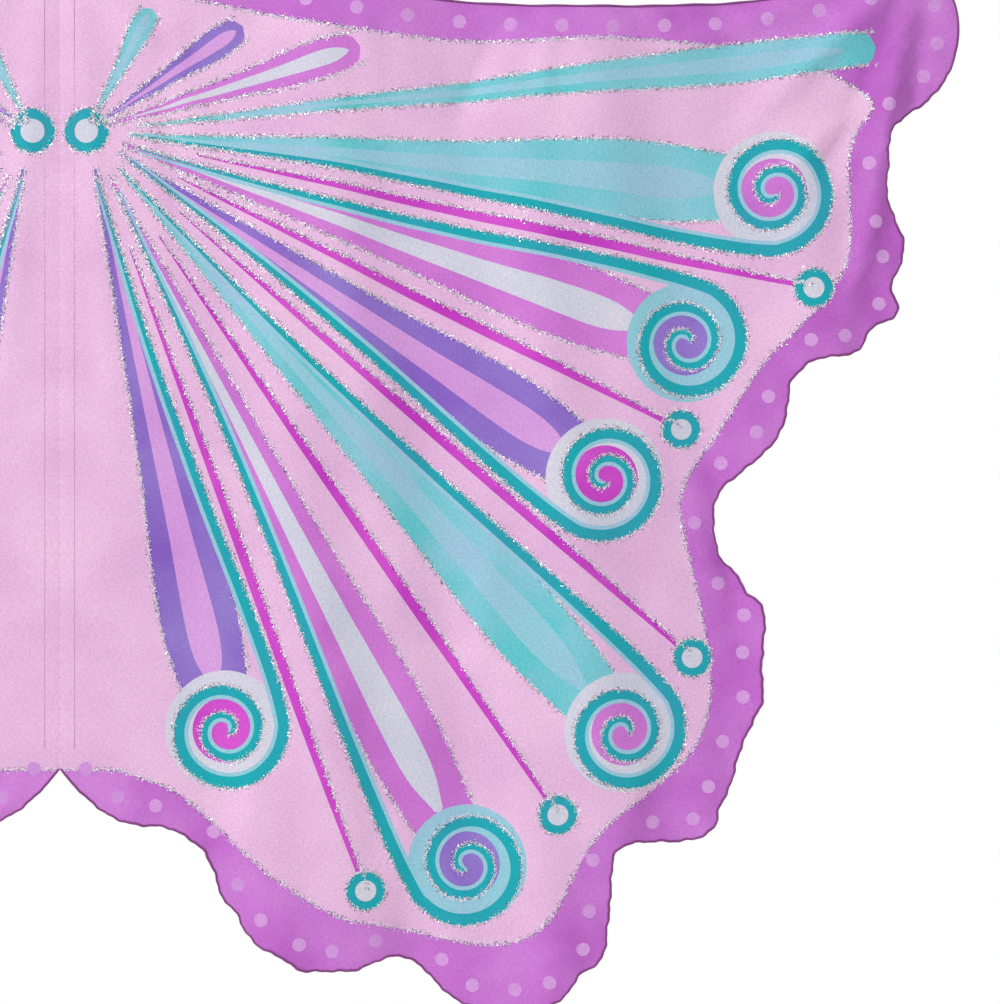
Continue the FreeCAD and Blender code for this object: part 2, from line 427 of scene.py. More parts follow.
def relief(points):
    """How far the hanging cloth stands off the flat, in mm, positive towards the wearer."""
    points = np.column_stack([np.abs(points[:, 0]), points[:, 1]])
    x, drop = points.T
    low = np.clip(drop / LOWEST_DROP, 0, 1)
    fade_in = np.clip((x - FLAT_BACK) / FADE_WIDTH, 0, 1) ** 2
    lean = 0.10 * np.sin(drop / 120) + 0.00045 * drop
    turns = (x - SHOULDER_LINE) / FLUTE_PITCH
    y = fade_in * (FLUTE_HEIGHT + FLUTE_GROWTH * low) * np.sin(2 * math.pi * (turns + lean))
    slant = x / WAVE_LENGTH - drop / WAVE_DROP
    y += fade_in * (WAVE_HEIGHT + WAVE_GROWTH * low) * np.sin(2 * math.pi * slant)
    for start, end, half_width, height in CREASES:
        start, end = np.array(start, float), np.array(end, float)
        run = end - start
        share = np.clip(((points - start) @ run) / (run @ run), 0, 1)
        gap = np.linalg.norm(points - start - share[:, None] * run, axis=1)
        fullness = np.sin(math.pi * np.clip(share * 0.86 + 0.10, 0, 1))
        y -= height * fullness * np.exp(-(gap / half_width) ** 2)
    ripple = np.sin(2 * math.pi * (x - 0.75 * drop) / RIPPLE_LENGTH + 1.7 * np.sin(x / 70))
    fullness = RIPPLE_HEIGHT * np.exp(-edge_distance(points) / RIPPLE_REACH) * np.clip(x / 25, 0, 1)
    y += fullness * ripple
    return y + SEAM_DIP * np.exp(-(x / SEAM_HALF_WIDTH) ** 2)


def hang(points, lift=0.0):
    """Flat points to places in the frame, in metres, with the cloth's normal towards the viewer;
    lift is in mm along that normal."""
    delta = 0.5
    y = relief(points)
    slope_x = (relief(points + (delta, 0)) - y) / delta
    slope_drop = (relief(points + (0, delta)) - y) / delta
    normal = np.column_stack([slope_x, -np.ones(len(y)), -slope_drop])
    normal /= np.linalg.norm(normal, axis=1)[:, None]
    place = np.column_stack([points[:, 0], y, -points[:, 1]])
    return (place + normal * np.reshape(lift, (-1, 1))) * MM, normal


# ---- materials


def linear(colour):
    """sRGB numbers of 0 to 255 as a linear colour."""
    share = [value / 255 for value in colour]
    return [s / 12.92 if s <= 0.04045 else ((s + 0.055) / 1.055) ** 2.4 for s in share] + [1.0]


class Nodes:
    """A few short calls for building a node tree."""

    def __init__(self, material):
        material.use_nodes = True
        self.tree = material.node_tree
        self.shader = self.tree.nodes["Principled BSDF"]

    def add(self, kind, inputs=None, **settings):
        node = self.tree.nodes.new(kind)
        for key, value in settings.items():
            setattr(node, key, value)
        for key, value in (inputs or {}).items():
            if isinstance(value, bpy.types.NodeSocket):
                self.tree.links.new(value, node.inputs[key])
            else:
                node.inputs[key].default_value = value
        return node

    def mix(self, factor, first, second, blend="MIX"):
        node = self.add("ShaderNodeMix", {0: factor, 6: first, 7: second}, data_type="RGBA",
                        blend_type=blend)
        return node.outputs[2]

    def math(self, operation, first, second=0.0):
        return self.add("ShaderNodeMath", {0: first, 1: second}, operation=operation).outputs[0]

    def noise(self, vector, scale, detail=2.0):
        node = self.add("ShaderNodeTexNoise", {"Vector": vector, "Scale": scale, "Detail": detail})
        return node.outputs["Fac"]

    def link(self, socket, name):
        self.tree.links.new(socket, self.shader.inputs[name])


PALETTE = {
    "mauve": ((190, 98, 200), (209, 130, 217)),
    "pink": ((238, 194, 229), (226, 178, 220)),
    "orchid": ((216, 130, 219), (198, 110, 205)),
    "lilac": ((218, 162, 226), (208, 146, 217)),
    "magenta": ((216, 82, 209), (192, 48, 190)),
    "aqua": ((96, 200, 207), (146, 201, 219)),
    "sky": ((146, 205, 219), (158, 196, 220)),
    "teal": ((0, 170, 181), (34, 160, 180)),
    "purple": ((150, 124, 206), (134, 92, 194)),
    "white": ((219, 215, 229), (204, 206, 224)),
}
COLOURS = list(PALETTE)
BACK_TINT = (232, 214, 236)


def cloth_material(name, colours, back):
    """Printed fine-weave polyester. The wearer's side shows the print through, paler."""
    material = bpy.data.materials.new(name)
    nodes = Nodes(material)
    flat = nodes.add("ShaderNodeAttribute", attribute_name="flat").outputs["Vector"]
    warp = nodes.add("ShaderNodeMapping", {"Vector": flat, "Scale": (1800, 260, 1)}).outputs[0]
    weft = nodes.add("ShaderNodeMapping", {"Vector": flat, "Scale": (260, 1800, 1)}).outputs[0]
    blotch = nodes.noise(flat, 14.0, 3.0)
    blotch = nodes.add("ShaderNodeMapRange", {0: blotch, 1: 0.34, 2: 0.66}).outputs[0]
    grain = nodes.noise(flat, 620.0, 3.0)
    threads = nodes.math("ADD", nodes.noise(warp, 1.0), nodes.noise(weft, 1.0))
    first, second = (linear(colour) for colour in colours)
    ink = nodes.mix(blotch, first, second)
    speck = nodes.add("ShaderNodeMapRange", {0: grain, 1: 0.3, 2: 0.7, 3: 0.90, 4: 1.08}).outputs[0]
    weave = nodes.add("ShaderNodeMapRange", {0: threads, 1: 0.7, 2: 1.3, 3: 0.90, 4: 1.08})
    shade = nodes.math("MULTIPLY", speck, weave.outputs[0])
    ink = nodes.mix(1.0, ink, shade, "MULTIPLY")
    if back:
        ink = nodes.mix(0.42, ink, linear(BACK_TINT))
    nodes.link(ink, "Base Color")
    rough = nodes.add("ShaderNodeMapRange", {0: threads, 1: 0.6, 2: 1.4, 3: 0.60, 4: 0.78})
    nodes.link(rough.outputs[0], "Roughness")
    bump = nodes.add("ShaderNodeBump", {"Height": threads, "Strength": 0.35, "Distance": 0.0003})
    nodes.link(bump.outputs[0], "Normal")
    nodes.shader.inputs["Specular IOR Level"].default_value = 0.3
    nodes.shader.inputs["Sheen Weight"].default_value = 0.15
    nodes.shader.inputs["Sheen Roughness"].default_value = 0.4
    return material


def thread_material(name, colours):
    """Twisted polyester thread."""
    material = bpy.data.materials.new(name)
    nodes = Nodes(material)
    place = nodes.add("ShaderNodeTexCoord").outputs["Object"]
    fibre = nodes.noise(place, 2400.0, 3.0)
    tone = nodes.noise(place, 60.0)
    first, second = (linear(colour) for colour in colours)
    nodes.link(nodes.mix(nodes.math("MULTIPLY", fibre, tone), first, second), "Base Color")
    bump = nodes.add("ShaderNodeBump", {"Height": fibre, "Strength": 0.4, "Distance": 0.0002})
    nodes.link(bump.outputs[0], "Normal")
    nodes.shader.inputs["Roughness"].default_value = 0.5
    nodes.shader.inputs["Sheen Weight"].default_value = 0.2
    return material


def woven_material(name, colours, warp_scale, weft_scale, roughness, bump_height):
    """A woven band: crossing threads at the given scales, in threads per metre."""
    material = bpy.data.materials.new(name)
    nodes = Nodes(material)
    flat = nodes.add("ShaderNodeAttribute", attribute_name="flat").outputs["Vector"]
    axes = nodes.add("ShaderNodeSeparateXYZ", {"Vector": flat})
    turn = 2 * math.pi
    warp = nodes.math("SINE", nodes.math("MULTIPLY", axes.outputs[0], warp_scale * turn))
    weft = nodes.math("SINE", nodes.math("MULTIPLY", axes.outputs[1], weft_scale * turn))
    threads = nodes.math("ADD", nodes.math("MULTIPLY", warp, weft), nodes.noise(flat, 900.0))
    tone = nodes.math("ADD", nodes.noise(flat, 45.0), nodes.math("MULTIPLY", threads, 0.16))
    first, second = (linear(colour) for colour in colours)
    nodes.link(nodes.mix(tone, first, second), "Base Color")
    bump = nodes.add("ShaderNodeBump", {"Height": threads, "Strength": 0.6,
                                        "Distance": bump_height})
    nodes.link(bump.outputs[0], "Normal")
    rough = nodes.add("ShaderNodeMapRange", {0: threads, 1: -1.0, 2: 1.6, 3: roughness + 0.12,
                                             4: roughness - 0.08})
    nodes.link(rough.outputs[0], "Roughness")
    nodes.shader.inputs["Sheen Weight"].default_value = 0.2
    return material


def glitter_material(name, colour, metallic, roughness):
    """One finish of glitter flake: the lines mix several."""
    material = bpy.data.materials.new(name)
    shader = Nodes(material).shader
    shader.inputs["Base Color"].default_value = linear(colour)
    shader.inputs["Metallic"].default_value = metallic
    shader.inputs["Roughness"].default_value = roughness
    return material


FRONT = [cloth_material("printed_cloth_" + name, PALETTE[name], False) for name in COLOURS]
BACK = [cloth_material("cloth_back_" + name, PALETTE[name], True) for name in COLOURS]
FLAKES = [
    glitter_material("glitter_white", (255, 252, 255), 0.0, 0.35),
    glitter_material("glitter_silver", (222, 214, 230), 0.55, 0.28),
    glitter_material("glitter_pewter", (150, 140, 165), 0.7, 0.30),
    glitter_material("glitter_dark", (84, 62, 104), 0.6, 0.35),
]
FLAKE_SHARES = [0.42, 0.32, 0.20, 0.06]
HEM_THREAD = thread_material("hem_thread", ((120, 44, 116), (158, 74, 154)))
TACK_THREAD = thread_material("tack_thread", ((140, 56, 136), (176, 92, 172)))
TAPE = woven_material("seam_tape", ((184, 102, 194), (198, 122, 206)), 700, 500, 0.72, 0.0003)
ELASTIC = woven_material("elastic", ((226, 178, 216), (208, 152, 200)), 900, 650, 0.7, 0.0004)
LABEL = woven_material("label_satin", ((244, 243, 238), (232, 230, 226)), 3200, 1200, 0.38,
                       0.00005)

# ---- the cloth's mesh


def wing_pattern():
    """The flat wing as triangles with a colour each: crisp printed edges follow mesh edges."""
    outline = edge_outline()
    layers = print_layers()
    points, edges = [], []

    def add_line(line, keep=None):
        first = len(points)
        points.extend(line)
        for index in range(len(line) - 1):
            if keep is None or keep[index]:
                edges.append((first + index, first + index + 1))

    seam = resample(np.array([outline[-1], outline[0]]), np.arange(0.0, outline[-1, 1], EDGE_STEP))
    add_line(np.vstack([outline, seam[1:], outline[:1]]))
    add_line(np.array([(PIECE_LINE, GRID_TOP - 2), (PIECE_LINE, GRID_BOTTOM + 4)]))
    for number, (_, shape) in enumerate(layers):
        closed = np.vstack([shape, shape[:1]])
        middles = (closed[1:] + closed[:-1]) / 2
        on_cloth = inside(closed, outline)
        seen = on_cloth[1:] | on_cloth[:-1]
        for _, above in layers[number + 1:]:
            if not seen.any():
                break
            seen[seen] = ~inside(middles[seen], above)
        if seen.any():
            add_line(closed, seen)

    rows = np.arange(GRID_TOP, GRID_BOTTOM, GRID_STEP * 0.87)
    for number, drop in enumerate(rows):
        x = np.arange(GRID_STEP / 2 * (number % 2) + 3, GRID_RIGHT, GRID_STEP)
        row = np.column_stack([x, np.full(len(x), drop)])
        row = row[inside(row, outline)]
        points.extend(row[edge_distance(row) > 3.0])
    for depth in (2.5, 6.0):
        inset = smooth(EDGE_POINTS, 4.0)
        inset = inset + sideways(inset) * depth
        inset = inset[inside(inset, outline)]
        points.extend(inset[edge_distance(inset) > depth * 0.9])

    merged = np.round(np.array(points), 3)
    flat, _, triangles, _, _, _ = delaunay_2d_cdt(
        [Vector(p) for p in merged], edges, [], 0, 0.02, False)
    flat = np.array([tuple(v) for v in flat])
    triangles = np.array(triangles)
    centres = flat[triangles].mean(axis=1)
    kept = inside(centres, outline)
    triangles, centres = triangles[kept], centres[kept]
    colours = np.zeros(len(triangles), int)
    for colour, shape in layers:
        colours[inside(centres, shape)] = COLOURS.index(colour)
    a, b, c = (flat[triangles[:, k]] for k in range(3))
    spin = (b[:, 0] - a[:, 0]) * (c[:, 1] - a[:, 1]) - (b[:, 1] - a[:, 1]) * (c[:, 0] - a[:, 0])
    triangles[spin < 0] = triangles[spin < 0][:, ::-1]
    return flat, triangles, colours, centres


def new_object(name, vertices, faces, materials, indices=None):
    mesh = bpy.data.meshes.new(name)
    mesh.from_pydata([tuple(v) for v in vertices], [], [tuple(int(i) for i in f) for f in faces])
    for material in materials:
        mesh.materials.append(material)
    if indices is not None:
        mesh.polygons.foreach_set("material_index", np.asarray(indices, np.int32))
    mesh.polygons.foreach_set("use_smooth", np.ones(len(mesh.polygons), bool))
    mesh.update()
    obj = bpy.data.objects.new(name, mesh)
    bpy.context.scene.collection.objects.link(obj)
    return obj


def stand_for(piece, slot, *nodes):
    """Hide the CAD nodes that a piece is shown in place of; the piece and its material slot are not
    used.
    """
    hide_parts(*nodes)


def mirror(points, side):
    return points * (side, 1, 1)


def keep_flat(obj, flat):
    """Store the flat place of every point, in metres, so that weaves follow the cloth."""
    attribute = obj.data.attributes.new("flat", "FLOAT_VECTOR", "POINT")
    data = np.column_stack([flat * MM, np.zeros(len(flat))]).astype(np.float32)
    attribute.data.foreach_set("vector", data.ravel())


def cloth_piece(name, flat, triangles, colours, side):
    """A closed thin shell of cloth: printed front, paler back and the cut rim between them.
    Also its flat area and size, in metres."""
    used, local = np.unique(triangles, return_inverse=True)
    local = local.reshape(-1, 3)
    pattern = flat[used]
    front, normal = hang(pattern)
    back, _ = hang(pattern, -CLOTH_THICKNESS)
    count = len(used)
    edges = {(start, end) for a, b, c in local for start, end in ((a, b), (b, c), (c, a))}
    rim = [(b, a, a + count, b + count) for a, b in sorted(edges) if (b, a) not in edges]
    faces = [tuple(t) for t in local] + [tuple(t[::-1] + count) for t in local] + rim
    indices = np.concatenate([colours, colours + len(COLOURS), np.zeros(len(rim), int)])
    if side > 0:
        faces = [face[::-1] for face in faces]
    obj = new_object(name, mirror(np.vstack([front, back]), side), faces, FRONT + BACK, indices)
    obj.data.normals_split_custom_set_from_vertices(mirror(np.vstack([normal, -normal]), side))
    keep_flat(obj, np.vstack([pattern, pattern]))
    first, second = (pattern[local[:, k]] - pattern[local[:, 0]] for k in (1, 2))
    area = np.abs(first[:, 0] * second[:, 1] - first[:, 1] * second[:, 0]).sum() / 2
    return obj, area * MM * MM, (pattern.max(axis=0) - pattern.min(axis=0)) * MM


def bend(piece, part):
    """Bake a piece's placement into its mesh; nothing is bent. The inner piece crosses the shoulder
    line, and the outer one the elbow line.
    """
    if part == "inner":
        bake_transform(piece)
    else:
        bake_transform(piece)


# ---- glitter

FLAKES_PER_MM = 6.0
LINE_SPREAD = 0.85          # standard deviation across a glitter line, in mm
FLAKE_SIZE = (0.26, 0.62)   # from the middle to a corner
rng = np.random.default_rng(7)


def flakes(outline):
    """The flat middles of all the glitter flakes of a wing."""
    kept = []
    for line, covers in glitter_lines():
        length = distance_along(line)[-1]
        at = rng.uniform(0, length, int(length * FLAKES_PER_MM))
        across = rng.normal(0, LINE_SPREAD, len(at))
        places = resample(line, at) + sideways_at(line, at) * across[:, None]
        shown = inside(places, outline)
        for cover in covers:
            shown &= ~inside(places, cover)
        kept.append(places[shown])
    places = np.vstack(kept)
    return places[edge_distance(places) > 2.0]


def glitter_mesh(places):
    """Four corners for each flake, tilted a little every way, lying on the cloth."""
    count = len(places)
    centre, normal = hang(places, 0.22)
    size = rng.uniform(*FLAKE_SIZE, count) * MM
    turn = rng.uniform(0, 2 * math.pi, count)
    tilt = rng.normal(0, 0.22, (count, 2))
    corners = []
    for quarter in range(4):
        angle = turn + quarter * math.pi / 2 + rng.uniform(-0.5, 0.5, count)
        reach = size * rng.uniform(0.6, 1.15, count)
        right, up = np.cos(angle) * reach, np.sin(angle) * reach
        rise = right * tilt[:, 0] + up * tilt[:, 1]
        offset = np.column_stack([right, np.zeros(count), up])
        offset += normal * (rise - (offset * normal).sum(axis=1))[:, None]
        corners.append(centre + offset)
    return np.stack(corners, axis=1)


def glitter_piece(name, quads, finishes, side):
    vertices = mirror(quads.reshape(-1, 3), side)
    faces = np.arange(len(vertices)).reshape(-1, 4)
    if side < 0:
        faces = faces[:, ::-1]
    return new_object(name, vertices, faces, FLAKES, finishes)


# ---- rolled hem

HEM_RADIUS = 0.85
HEM_RIB = 0.2
HEM_STITCH = 1.5
HEM_SIDES = 8


def hem_rings():
    """Rings round the wing's edge: the thread wraps show as slanted ribs."""
    outline = edge_outline(0.5)
    at = distance_along(outline)
    line = outline + sideways(outline) * HEM_RADIUS
    centre, normal = hang(line, -CLOTH_THICKNESS / 2)
    inward = sideways(outline)
    across = np.column_stack([inward[:, 0], np.zeros(len(line)), -inward[:, 1]])
    rings = np.empty((len(line), HEM_SIDES, 3))
    for number in range(HEM_SIDES):
        angle = 2 * math.pi * number / HEM_SIDES
        rib = np.sin(2 * math.pi * at / HEM_STITCH + angle)
        radius = (HEM_RADIUS + HEM_RIB * rib)[:, None] * MM
        rings[:, number] = centre + radius * (across * math.cos(angle) + normal * math.sin(angle))
    return line, rings


def tube_faces(count, sides, first=0):
    """The faces of a closed tube of so many rings, whose points start at first."""
    faces = []
    for ring in range(count - 1):
        for k in range(sides):
            a = first + ring * sides + k
            b = first + ring * sides + (k + 1) % sides
            faces.append((a, b, b + sides, a + sides))
    faces.append(tuple(first + k for k in range(sides))[::-1])
    faces.append(tuple(first + (count - 1) * sides + k for k in range(sides)))
    return faces


def tubes_piece(name, tubes, side, materials):
    """Closed tubes as one piece; each is an array of rings of points."""
    vertices, faces, first = [], [], 0
    for rings in tubes:
        vertices.append(mirror(rings.reshape(-1, 3), side))
        faces += tube_faces(len(rings), rings.shape[1], first)
        first += rings.shape[0] * rings.shape[1]
    if side < 0:
        faces = [face[::-1] for face in faces]
    return new_object(name, np.vstack(vertices), faces, materials)


def runs_where(mask):
    """Stretches of True in a mask, each one ring longer so that neighbours meet."""
    padded = np.concatenate([[False], mask, [False]])
    changes = np.flatnonzero(padded[1:] != padded[:-1])
    return [(start, min(end + 1, len(mask))) for start, end in changes.reshape(-1, 2)]


def build_wings():
    flat, triangles, colours, centres = wing_pattern()
    outline = edge_outline()
    places = flakes(outline)
    quads = glitter_mesh(places)
    finishes = rng.choice(len(FLAKES), len(places), p=FLAKE_SHARES)
    line, rings = hem_rings()
    for side_name, side in SIDES.items():
        for part, cloth_nodes, hem_nodes in (
                ("inner", ("wing_base", "wing_middle"), ("base_hem", "middle_hem")),
                ("outer", ("wing_tip",), ("tip_hem",))):
            is_inner = part == "inner"
            name = f"{side_name}_{part}_"
            mine = (centres[:, 0] < PIECE_LINE) == is_inner
            cloth, area, size = cloth_piece(name + "cloth", flat, triangles[mine], colours[mine],
                                            side)
            stand_for(cloth, "printed_cloth", *(f"{side_name}_{node}" for node in cloth_nodes))
            chosen = (places[:, 0] < PIECE_LINE) == is_inner
            glitter = glitter_piece(name + "glitter", quads[chosen], finishes[chosen], side)
            runs = runs_where((line[:, 0] < PIECE_LINE) == is_inner)
            hem = tubes_piece(name + "hem", [rings[start:end] for start, end in runs], side,
                              [HEM_THREAD])
            stand_for(hem, "hem_thread", *(f"{side_name}_{node}" for node in hem_nodes))
            for piece in (cloth, glitter, hem):
                bend(piece, part)


build_wings()

# ---- behind the cloth
# Depths are in mm from the cloth's printed face towards the wearer.

TAPE_WIDTH, TAPE_TOP, TAPE_BOTTOM, TAPE_THICKNESS = 25.0, 6.0, 538.0, 0.7
LABEL_WIDTH, LABEL_TOP, LABEL_BOTTOM, LABEL_THICKNESS = 34.0, 70.0, 92.0, 0.35
STRAP_X, STRAP_WIDTH, STRAP_THICKNESS = 56.0, 10.0, 1.3
STRAP_ENDS = (24.7, 225.3)
PATCH_WIDTH, PATCH_HEIGHT, PATCH_THICKNESS = 14.0, 12.0, 0.8
WRIST_X, WRIST_WIDTH, WRIST_BAND, WRIST_THICKNESS = 545.0, 44.0, 6.0, 1.2
WRIST_TOP, WRIST_BOTTOM = 30.0, 96.0
WRIST_Y = 3.2               # how far the hand loop stands behind the wing's plane
THREAD_RADIUS = 0.2
PATCH_BACK = CLOTH_THICKNESS + PATCH_THICKNESS


def cloth_back(x, drop):
    """How far the cloth's wearer side stands off the flat at one place, in mm."""
    return relief(np.array([(x, drop)], float))[0] + CLOTH_THICKNESS


def slab(xs, drops, near, far, curl=None):
    """A thin closed block that follows the cloth, between two depths behind its face."""
    grid = np.array([(x, drop) for drop in drops for x in xs])
    extra = curl(grid) if curl else 0.0
    low, _ = hang(grid, -near - extra)
    high, _ = hang(grid, -far - extra)
    columns, rows, count = len(xs), len(drops), len(grid)
    faces = []
    for row in range(rows - 1):
        for column in range(columns - 1):
            a = row * columns + column
            quad = (a, a + 1, a + columns + 1, a + columns)
            faces.append(quad[::-1])
            faces.append(tuple(count + i for i in quad))
    border = ([(0, k) for k in range(columns)] + [(k, columns - 1) for k in range(1, rows)]
              + [(rows - 1, k) for k in range(columns - 2, -1, -1)]
              + [(k, 0) for k in range(rows - 2, 0, -1)])
    ring = [row * columns + column for row, column in border]
    for here, there in zip(ring, ring[1:] + ring[:1]):
        faces.append((here, there, count + there, count + here))
    return np.vstack([low, high]), faces, np.vstack([grid, grid])


def slab_piece(name, blocks, material, side=1):
    """Blocks made by slab() as one piece, with their flat places kept for the weave."""
    vertices, faces, flat, first = [], [], [], 0
    for block, block_faces, block_flat in blocks:
        vertices.append(mirror(block, side))
        flat.append(block_flat)
        faces += [tuple(first + i for i in face) for face in block_faces]
        first += len(block)
    if side < 0:
        faces = [face[::-1] for face in faces]
    obj = new_object(name, np.vstack(vertices), faces, [material])
    keep_flat(obj, np.vstack(flat))
    return obj


def thread_tube(points, radius=THREAD_RADIUS, sides=6):
    """Rings of a thread along points in metres."""
    points = np.asarray(points)
    along = np.gradient(points, axis=0)
    along /= np.linalg.norm(along, axis=1)[:, None]
    across = np.cross(along, (0.0, 1.0, 0.001))
    across /= np.linalg.norm(across, axis=1)[:, None]
    up = np.cross(across, along)
    turn = np.linspace(0, 2 * math.pi, sides, endpoint=False)[None, :, None]
    spread = across[:, None] * np.cos(turn) + up[:, None] * np.sin(turn)
    return points[:, None] + spread * radius * MM


def stitch(start, end, depth, bulge=0.25):
    """One thread stitch between two flat points, whose ends sink into the cloth."""
    share = np.array([0.0, 0.12, 0.5, 0.88, 1.0])
    rise = np.array([-0.5, 0.55, 1.0, 0.55, -0.5]) * bulge
    points = np.array(start) + share[:, None] * (np.array(end) - np.array(start))
    return thread_tube(hang(points, -depth - rise)[0])


def stitch_line(x, top, bottom, depth, pitch=3.0, gap=0.7):
    return [stitch((x, drop), (x, drop + pitch - gap), depth)
            for drop in np.arange(top, bottom - pitch, pitch)]


def bar_tack(x, drop, width, height, depth):
    """Dense zigzag stitches across an end that is sewn down."""
    passes = int(height / (1.7 * THREAD_RADIUS))
    drops = np.linspace(drop - height / 2, drop + height / 2, passes)
    sway = np.where(np.arange(passes) % 2 == 0, 1.0, -1.0)
    rows = [stitch((x - width / 2, row), (x + width / 2, row + 0.3 * way), depth)
            for row, way in zip(drops, sway)]
    legs = [stitch((x + k * width / 4, drops[0] - 0.6), (x + k * width / 4, drops[-1] + 0.6),
                   depth - 0.1) for k in (-2, 2)]
    return rows + legs


def woven_band(path, width_way, width, thickness, ribs):
    """A flat braided elastic along a path: rings of its section, with lengthwise ribs, and the
    flat place of every point."""
    along = np.gradient(path, axis=0)
    along /= np.linalg.norm(along, axis=1)[:, None]
    way = width_way - along * (width_way * along).sum(axis=1)[:, None]
    way /= np.linalg.norm(way, axis=1)[:, None]
    out = np.cross(along, way)
    steps = ribs * 4
    across = np.linspace(-0.5, 0.5, steps + 1)
    crown = np.sqrt(np.clip(1 - (2 * across) ** 8, 0, 1))
    rib = 0.86 + 0.14 * np.cos(2 * math.pi * (across + 0.5) * ribs)
    rise = thickness / 2 * (0.35 + 0.65 * crown) * rib
    section = np.concatenate([np.column_stack([across * width, rise]),
                              np.column_stack([across[::-1] * width, -rise[::-1]])])
    rings = (path[:, None] + way[:, None] * section[None, :, :1]
             + out[:, None] * section[None, :, 1:])
    length = distance_along(path)
    flat = np.empty(rings.shape[:2] + (2,))
    flat[..., 0] = section[None, :, 0]
    flat[..., 1] = length[:, None]
    return rings * MM, flat.reshape(-1, 2)


def band_piece(name, rings, flat, side):
    obj = tubes_piece(name, [rings], side, [ELASTIC])
    keep_flat(obj, flat)
    return obj


def shoulder_elastic():
    """The arm loop: both ends lie flat on their patches and it stands out towards the wearer."""
    top, bottom = STRAP_ENDS
    depth_top = cloth_back(STRAP_X, top) + PATCH_THICKNESS + STRAP_THICKNESS / 2
    depth_bottom = cloth_back(STRAP_X, bottom) + PATCH_THICKNESS + STRAP_THICKNESS / 2
    knots = [(depth_top, 29), (depth_top, 26), (depth_top + 1.6, 24), (6.5, 23.6), (20, 24.6),
             (36, 27), (53, 37), (65, 54), (69.2, 78), (68, 112), (67, 150), (68.5, 180),
             (63, 200), (50, 215), (34, 223.5), (18, 226), (6.5, 226.6),
             (depth_bottom + 1.6, 226), (depth_bottom, 224), (depth_bottom, 221)]
    line = smooth(knots, 1.2)
    path = np.column_stack([np.full(len(line), STRAP_X), line[:, 0], -line[:, 1]])
    width_way = np.tile((1.0, 0.0, 0.0), (len(path), 1))
    return woven_band(path, width_way, STRAP_WIDTH, STRAP_THICKNESS, 9)


def wrist_elastic():
    """The hand loop: its ends lie flat on the cloth and turn edge-on as it leaves it."""
    half = (WRIST_WIDTH - WRIST_THICKNESS) / 2
    low = WRIST_BOTTOM - WRIST_WIDTH / 2
    depth = [cloth_back(WRIST_X + way * half, WRIST_TOP + 3) + WRIST_THICKNESS for way in (-1, 1)]
    knots = [(-half, depth[0], 30.5), (-half, depth[0], 34), (-half + 0.3, 2.6, 43),
             (-half, WRIST_Y, 58), (-half + 0.6, WRIST_Y, 74)]
    for degrees in (30, 60, 90, 120, 150):
        angle = math.radians(180 - degrees)
        knots.append((half * math.cos(angle), WRIST_Y, low + half * math.sin(angle)))
    knots += [(half - 0.6, WRIST_Y, 74), (half, WRIST_Y, 58), (half - 0.3, 2.6, 43),
              (half, depth[1], 34), (half, depth[1], 30.5)]
    line = smooth(knots, 1.0)
    path = np.column_stack([line[:, 0] + WRIST_X, line[:, 1], -line[:, 2]])
    along = distance_along(path)
    from_end = np.minimum(along, along[-1] - along)
    turned = np.clip((from_end - 5) / 16, 0, 1)
    twist = (turned * turned * (3 - 2 * turned)) * math.pi / 2
    width_way = np.column_stack([np.cos(twist), np.sin(twist), np.zeros(len(path))])
    return woven_band(path, width_way, WRIST_BAND, WRIST_THICKNESS, 6)


def label_curl(grid):
    """The free end of the label curls away from the tape, more at its corners."""
    free = np.clip((grid[:, 1] - LABEL_TOP - 5) / (LABEL_BOTTOM - LABEL_TOP - 5), 0, 1)
    return free ** 2 * (1.0 + 1.2 * (grid[:, 0] / (LABEL_WIDTH / 2)) ** 2)


